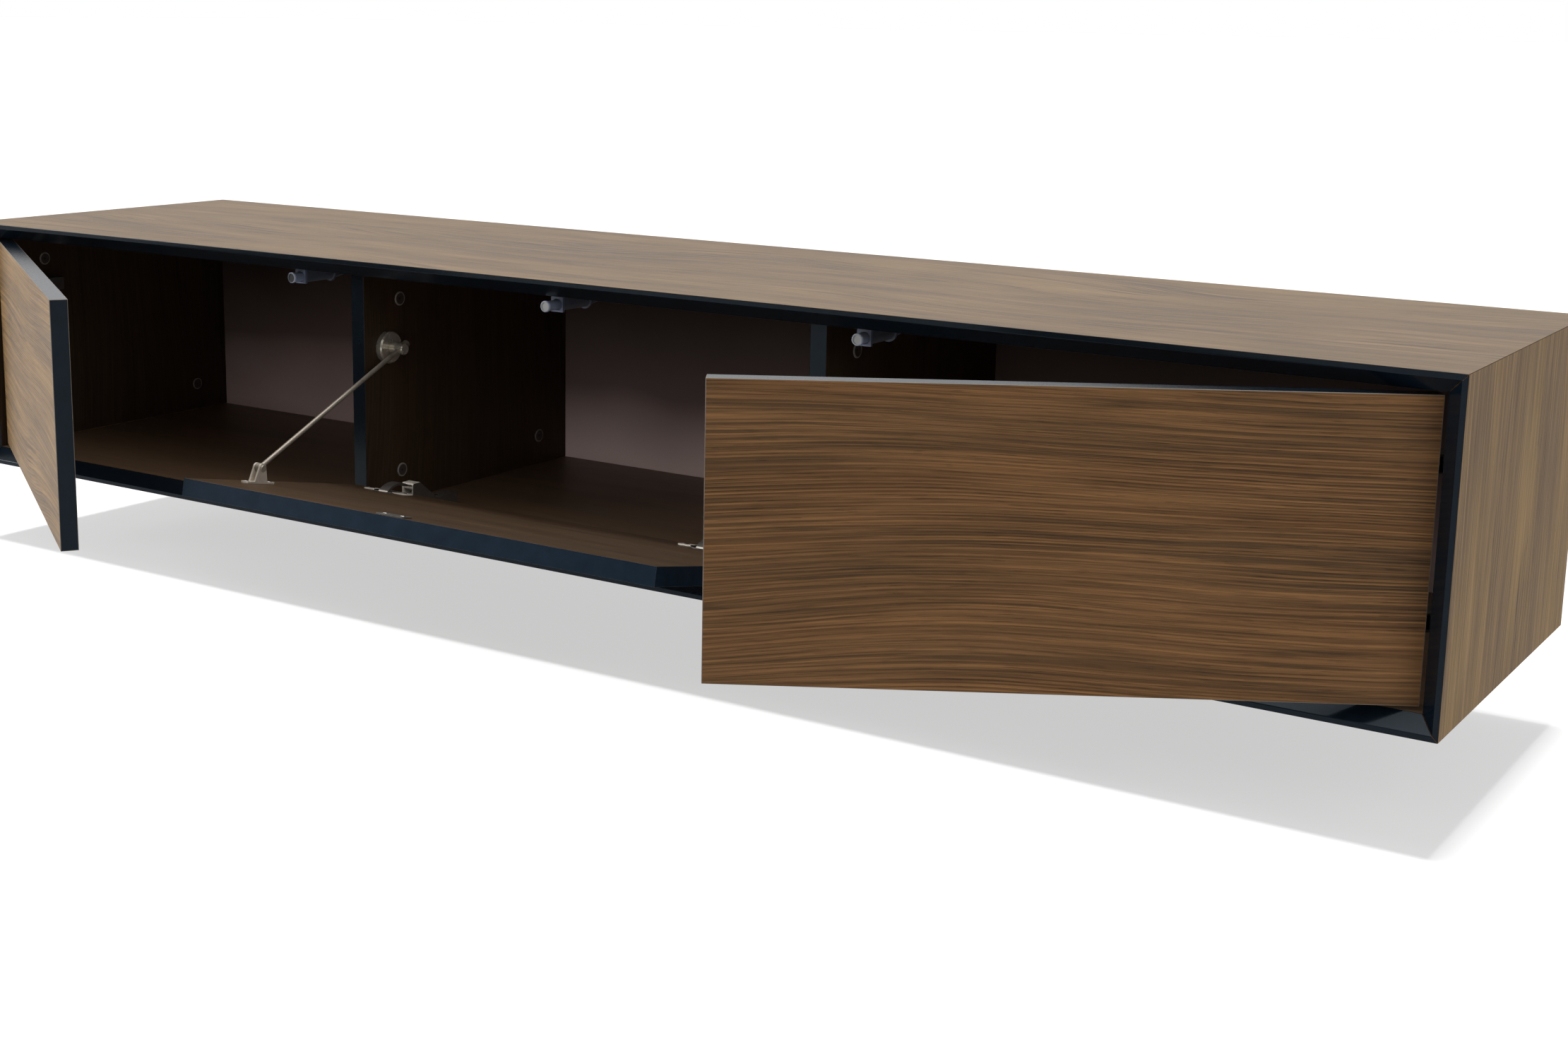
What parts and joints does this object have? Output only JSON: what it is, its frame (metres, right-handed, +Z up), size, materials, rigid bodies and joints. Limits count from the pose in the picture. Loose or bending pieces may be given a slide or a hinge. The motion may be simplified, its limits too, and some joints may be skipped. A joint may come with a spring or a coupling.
{
  "type": "floating media console",
  "caption": "Long low wall-hung media console: a mitred box with a side-hung door at each end and a drop-down flap between them on a sliding-rod stay.",
  "frame": {"origin": "centre of the hanging rail's rear face, on the wall plane", "axes": "+X along the console, to the right as seen from its fronts; +Y out of its back, into the wall; +Z up"},
  "size_m": [1.8, 0.7214, 0.3],
  "materials": {
    "veneer": "satin walnut-toned wood veneer with dark edges",
    "back": "thin dark board, matte",
    "rail": "raw light softwood",
    "nickel": "nickel-plated pressed steel",
    "chrome": "bright plated",
    "housing": "moulded dark plastic",
    "plunger": "blue-grey plastic",
    "cover": "dark brown plastic cap"
  },
  "bodies": {
    "carcass": {"top_panel": "veneer", "bottom_panel": "veneer", "side_panel_left": "veneer", "side_panel_right": "veneer", "back_panel": "back", "partition_left": "veneer", "partition_right": "veneer", "hanging_rail": "rail", "lower_rail": "rail", "stay_disc": "chrome", "hinge_arm_left_upper": "nickel", "hinge_arm_left_lower": "nickel", "hinge_arm_right_upper": "nickel", "hinge_arm_right_lower": "nickel", "hinge_arm_flap_left": "nickel", "hinge_arm_flap_right": "nickel", "hinge_plate_left_upper": "nickel", "hinge_plate_left_lower": "nickel", "hinge_plate_right_upper": "nickel", "hinge_plate_right_lower": "nickel", "hinge_plate_flap_left": "nickel", "hinge_plate_flap_right": "nickel", "latch_housing_left": "housing", "latch_housing_right": "housing", "latch_housing_flap": "housing", "cam_cover_side_left_1": "cover", "cam_cover_side_left_2": "cover", "cam_cover_side_left_3": "cover", "cam_cover_side_left_4": "cover", "cam_cover_side_right_1": "cover", "cam_cover_side_right_2": "cover", "cam_cover_side_right_3": "cover", "cam_cover_side_right_4": "cover", "cam_cover_partition_left_1": "cover", "cam_cover_partition_left_2": "cover", "cam_cover_partition_left_3": "cover", "cam_cover_partition_left_4": "cover", "cam_cover_partition_right_1": "cover", "cam_cover_partition_right_2": "cover", "cam_cover_partition_right_3": "cover", "cam_cover_partition_right_4": "cover"},
    "left_door": {"left_door": "veneer", "hinge_cup_left_upper": "nickel", "hinge_cup_left_lower": "nickel", "strike_plate_left": "nickel"},
    "right_door": {"right_door": "veneer", "hinge_cup_right_upper": "nickel", "hinge_cup_right_lower": "nickel", "strike_plate_right": "nickel"},
    "flap": {"drop_flap": "veneer", "hinge_cup_flap_left": "nickel", "hinge_cup_flap_right": "nickel", "strike_plate_flap": "nickel", "stay_bracket": "nickel", "stay_pin": "chrome"},
    "stay_guide": {"stay_guide": "chrome"},
    "stay_rod": {"stay_rod": "chrome"},
    "left_latch_plunger": {"latch_plunger_left": "plunger"},
    "right_latch_plunger": {"latch_plunger_right": "plunger"},
    "flap_latch_plunger": {"latch_plunger_flap": "plunger"}
  },
  "joints": [
    {"name": "left_door_hinge", "type": "hinge", "parent": "carcass", "child": "left_door", "pos_m": [-0.87, -0.404, -0.097], "axis": [0, 0, -1], "range_deg": [-33.5, 71.5]},
    {"name": "right_door_hinge", "type": "hinge", "parent": "carcass", "child": "right_door", "pos_m": [0.87, -0.404, -0.097], "axis": [0, 0, 1], "range_deg": [-30.5, 74.5]},
    {"name": "flap_hinge", "type": "hinge", "parent": "carcass", "child": "flap", "pos_m": [0, -0.404, -0.2165], "axis": [1, 0, 0], "range_deg": [-78.5, 0]},
    {"name": "stay_guide_turn", "type": "hinge", "parent": "carcass", "child": "stay_guide", "pos_m": [-0.2645, -0.347, -0.05104], "axis": [1, 0, 0], "range_deg": [-39.25, 0]},
    {"name": "stay_rod_turn", "type": "hinge", "parent": "flap", "child": "stay_rod", "pos_m": [-0.2645, -0.56524, -0.14849], "axis": [1, 0, 0], "range_deg": [0, 39.25]},
    {"name": "left_latch_slide", "type": "slide", "parent": "carcass", "child": "left_latch_plunger", "axis": [0, -1, 0], "range_m": [-0.01436, 0.03064]},
    {"name": "right_latch_slide", "type": "slide", "parent": "carcass", "child": "right_latch_plunger", "axis": [0, -1, 0], "range_m": [-0.01307, 0.03193]},
    {"name": "flap_latch_slide", "type": "slide", "parent": "carcass", "child": "flap_latch_plunger", "axis": [0, -1, 0], "range_m": [-0.02, 0]}
  ],
  "couplings": [
    {"joint": "stay_guide_turn", "follows": "flap_hinge", "ratio": 0.5},
    {"joint": "stay_rod_turn", "follows": "flap_hinge", "ratio": -0.5},
    {"joint": "left_latch_slide", "follows": "left_door_hinge", "m_per_rad": 0.024555},
    {"joint": "right_latch_slide", "follows": "right_door_hinge", "m_per_rad": 0.024555},
    {"joint": "flap_latch_slide", "follows": "flap_hinge", "m_per_rad": 0.014598}
  ]
}
